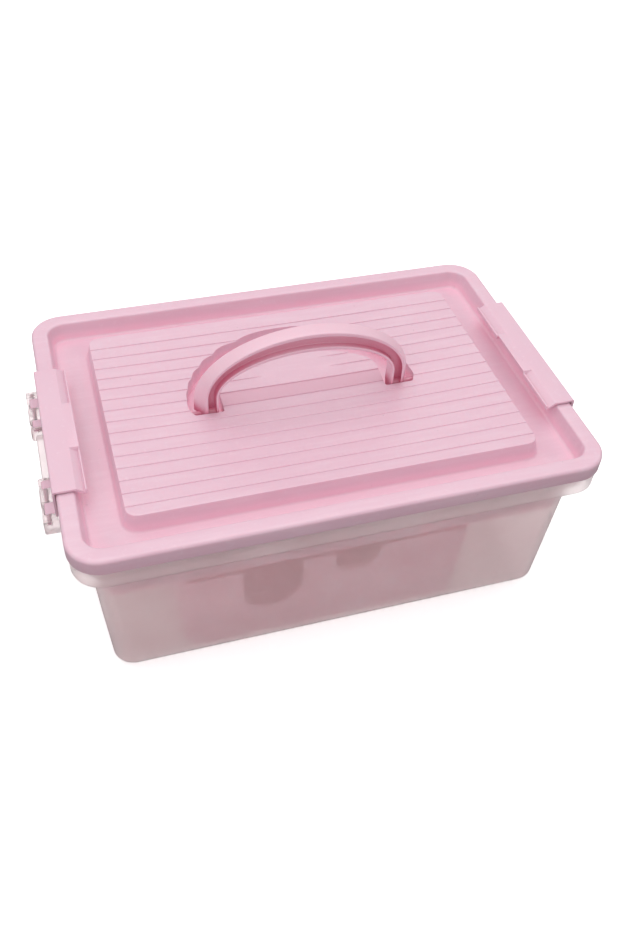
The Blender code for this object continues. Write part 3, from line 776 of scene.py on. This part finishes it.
def handle_section():
    """I section with rounded edges, as shares of its depth and width, from the outer front corner."""
    deep, wide = HANDLE_DEPTH, HANDLE_WIDTH
    web_front, web_back = 0.42 * wide, 0.58 * wide
    outer, inner = 0.20 * deep, 0.82 * deep
    points = [(0, 0, 0.0008), (0, wide, 0.0008), (outer, wide, 0.0004), (outer, web_back, 0.0006),
              (inner, web_back, 0.0006), (inner, wide, 0.0005), (deep, wide, 0.0006), (deep, 0, 0.0006),
              (inner, 0, 0.0005), (inner, web_front, 0.0006), (outer, web_front, 0.0006),
              (outer, 0, 0.0004)]
    return [(x / deep, y / wide) for x, y in round_corners(points, 0.0005, 4)]


def handle_ring(section, angle, foot=False):
    """One section of the arch. Its outer edge is wider apart at the back than in front."""
    front = arch_point(HANDLE_FRONT, angle, foot)
    back = arch_point(HANDLE_BACK, angle, foot)
    inside = arch_point(HANDLE_INSIDE, angle, foot)
    ring = []
    for deep, across in section:
        x, height = front.lerp(back, across).lerp(inside, deep)
        ring.append((x, HANDLE_Y + HANDLE_WIDTH * (across - 0.5), HANDLE_Z + height))
    return ring


def handle_mesh():
    section = handle_section()
    arch = [handle_ring(section, math.pi * step / ARCH_STEPS) for step in range(ARCH_STEPS + 1)]
    rings = [handle_ring(section, 0.0, True)] + arch + [handle_ring(section, math.pi, True)]
    extras = []
    for side in (1, -1):
        eye = sorted((side * HANDLE_INSIDE[0], side * HANDLE_FRONT[0]))
        extras.append(rod("X", (HANDLE_Y, HANDLE_Z), HANDLE_EYE, *eye, sides=48))
        pin = sorted((side * (HANDLE_FRONT[0] - 0.002), side * (RECESS_OUTER[0] + LID_WALL)))
        extras.append(rod("X", (HANDLE_Y, HANDLE_Z), HANDLE_PIN, *pin))
    return combine(loft(rings), extras, "UNION")


# --- side clips --------------------------------------------------------------
def clip_section(hook):
    """Clip seen along Y: tip, plate and skirt. hook is 1 at its feet and 0 at its finger tab."""
    under = RIM_TOP + CLIP_GAP
    over = under + CLIP_WALL
    dip = CLIP_DIP * hook
    lip = max(CLIP_LIP * hook, 0.0001)
    tip = CLIP_INNER_X
    knee = CLIP_OVER_RIM_X - CLIP_SLOPE
    skirt = LID_HALF_X + CLIP_SIDE_GAP
    outside = skirt + CLIP_WALL
    low = RIM_TOP - CLIP_SKIRT
    points = [(tip, under - dip, 0.0009), (knee, under - dip, 0.0014), (CLIP_OVER_RIM_X, under, 0.0008),
              (skirt, under, 0.0004), (skirt, low, 0.0003), (outside, low, 0.0003), (outside, over, 0.0016),
              (CLIP_OVER_RIM_X - 0.0006, over, 0.0010), (knee - 0.0004, over - dip, 0.0004),
              (tip + 0.0014, over - dip, 0.0003), (tip + 0.0010, over - dip + lip, 0.0004),
              (tip, over - dip + lip, 0.0005)]
    return round_corners(points, 0.0006, 4)


def arm_outline():
    """Cranked arm seen along Y: down from the skirt, then out to the pin, over the lobe's bar."""
    near = LID_HALF_X + CLIP_SIDE_GAP + 0.0001
    far = near + CLIP_WALL - 0.0002
    top = RIM_TOP - CLIP_SKIRT + 0.0015
    low, high = HINGE_Z - ARM_HALF, HINGE_Z + ARM_HALF
    points = [(near, top, 0), (near, low, 0.0008), (HINGE_X + ARM_HALF, low, ARM_HALF),
              (HINGE_X + ARM_HALF, high, ARM_HALF), (far, high, 0.0010), (far, top, 0)]
    return round_corners(points, 0.001, 8)


def clip_mesh(side):
    half, tab = CLIP_HALF_Y, CLIP_TAB_HALF_Y
    profile = [(-half, 1.0), (-tab - 0.0018, 1.0), (-tab - 0.0013, 0.93), (-tab - 0.0005, 0.07),
               (-tab, 0.0), (tab, 0.0), (tab + 0.0005, 0.07), (tab + 0.0013, 0.93),
               (tab + 0.0018, 1.0), (half, 1.0)]
    rings = []
    for y, hook in profile:
        rings.append([(side * x, y + CLIP_SHIFT[side], z) for x, z in clip_section(hook)])
    extras = []
    pin = EARS[0][0] + 0.0006, EARS[-1][1] - 0.0006
    for end in (1, -1):
        for arm in ARMS:
            extras.append(prism_y(mirrored(arm_outline(), side), *sorted(end * y for y in arm)))
        extras.append(rod("Y", (side * HINGE_X, HINGE_Z), PIN_RADIUS, *sorted(end * y for y in pin)))
    return combine(loft(rings), extras, "UNION")


# --- pieces ------------------------------------------------------------------
def dress_cad_nodes(material):
    """The trays and their dividers keep their CAD meshes, with fine bevels and a moulded surface."""
    for name in TRAY_NODES:
        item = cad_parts[name]
        item.data.materials.clear()
        item.data.materials.append(material)
        smooth(item, 0.0003, 40.0)


def build_pieces():
    # the lid gets painted bounce light in its channel hollows and painted shade on the island's slope; the
    # handle gets painted shade in its groove
    pink = pink_plastic("pink_plastic", LID_PINK, 1.0, 0.30, 0.25, 0.003,
                        (0.014, CHANNEL_BOUNCE_PINK, RIM_TOP - 0.0045), True)
    pale = pink_plastic("pink_clip_plastic", CLIP_PINK, 0.6, 0.0, 0.25, 0.003)
    grip = pink_plastic("pink_handle_plastic", HANDLE_PINK, 0.6, 0.0, 0.2, 0.003,
                        (0.008, GROOVE_SHADE_PINK, 2 * RIM_TOP))
    # the trays get a faint painted glow that stands for light shining through them
    tray = pink_plastic("pink_tray_plastic", TRAY_PINK, 0.8, 0.0, 1.0, 0.016, painted_glow=0.035)
    place("tub_shell", tub_mesh(), frosted_plastic(), "tub", ["tub"], 0.0002)
    place("lid_shell", lid_mesh(), pink, "lid", ["lid"], 0.00015, 28.0)
    place("handle_grip", handle_mesh(), grip, "handle", ["carry_handle"], 0.0002)
    place("left_clip", clip_mesh(-1), pale, "clip_left", ["clip_left"], 0.0003)
    place("right_clip", clip_mesh(1), pale, "clip_right", ["clip_right"], 0.0003)
    dress_cad_nodes(tray)


# --- studio ------------------------------------------------------------------
def add_area(name, size, power, place_at):
    """Soft light over a rectangle, aimed at the middle of the box."""
    light = bpy.data.lights.new(name, "AREA")
    light.shape = "RECTANGLE"
    light.size, light.size_y = size
    light.energy = power
    item = bpy.data.objects.new(name, light)
    item.location = place_at
    way = Vector(BOX_MIDDLE) - Vector(place_at)
    item.rotation_euler = way.to_track_quat("-Z", "Y").to_euler()
    bpy.context.scene.collection.objects.link(item)


def sky():
    """White world, bright above the horizon and dim below it."""
    world = bpy.data.worlds.new("studio")
    world.use_nodes = True
    tree = world.node_tree
    background = tree.nodes["Background"]
    background.inputs["Color"].default_value = WHITE
    way = tree.nodes.new("ShaderNodeTexCoord")
    parts = tree.nodes.new("ShaderNodeSeparateXYZ")
    ramp = tree.nodes.new("ShaderNodeMapRange")
    tree.links.new(way.outputs["Generated"], parts.inputs[0])
    tree.links.new(parts.outputs["Z"], ramp.inputs["Value"])
    for name, value in SKY.items():
        ramp.inputs[name].default_value = value
    tree.links.new(ramp.outputs["Result"], background.inputs["Strength"])
    bpy.context.scene.world = world


def floor_material():
    n = Nodes("floor")
    n.join(n.mix(n.ramp(n.noise(3.0, 2.0), 0.3, 0.7), *FLOOR_TONES), "Base Color")
    n.fix("Roughness", 0.7)
    n.fix("Emission Color", WHITE)
    n.fix("Emission Strength", FLOOR_GLOW)
    return n.material


def lay_floor():
    """Pale floor that is seen but sends no soft or mirror light to the box."""
    mesh = bmesh.new()
    bmesh.ops.create_grid(mesh, x_segments=1, y_segments=1, size=FLOOR_HALF)
    data = bpy.data.meshes.new("floor")
    mesh.to_mesh(data)
    mesh.free()
    data.materials.append(floor_material())
    item = bpy.data.objects.new("floor", data)
    item.location = (0.0, 0.0, -FLOOR_GAP)
    item.visible_diffuse = False
    item.visible_glossy = False
    bpy.context.scene.collection.objects.link(item)


def studio():
    sky()
    bpy.context.scene.view_settings.view_transform = "Standard"
    add_area("overhead", (2.4, 1.8), 14.0, (0.1, 0.45, 1.95))
    add_area("left_front", (1.2, 1.2), 4.5, (-1.0, -1.1, 1.1))
    lay_floor()


def camera():
    """Camera at the left front corner, looking down at the box."""
    data = bpy.data.cameras.new("camera")
    data.lens = LENS
    data.sensor_width = 36.0
    data.clip_start = 0.01
    item = bpy.data.objects.new("camera", data)
    right = Vector(CAMERA_RIGHT)
    forward = Vector(CAMERA_FORWARD).normalized()
    right = (right - forward * right.dot(forward)).normalized()
    up = right.cross(forward)
    turn = Matrix((right, up, -forward)).transposed()
    item.matrix_world = Matrix.Translation(CAMERA_PLACE) @ turn.to_4x4()
    bpy.context.scene.collection.objects.link(item)
    bpy.context.scene.camera = item


build_pieces()
studio()
camera()
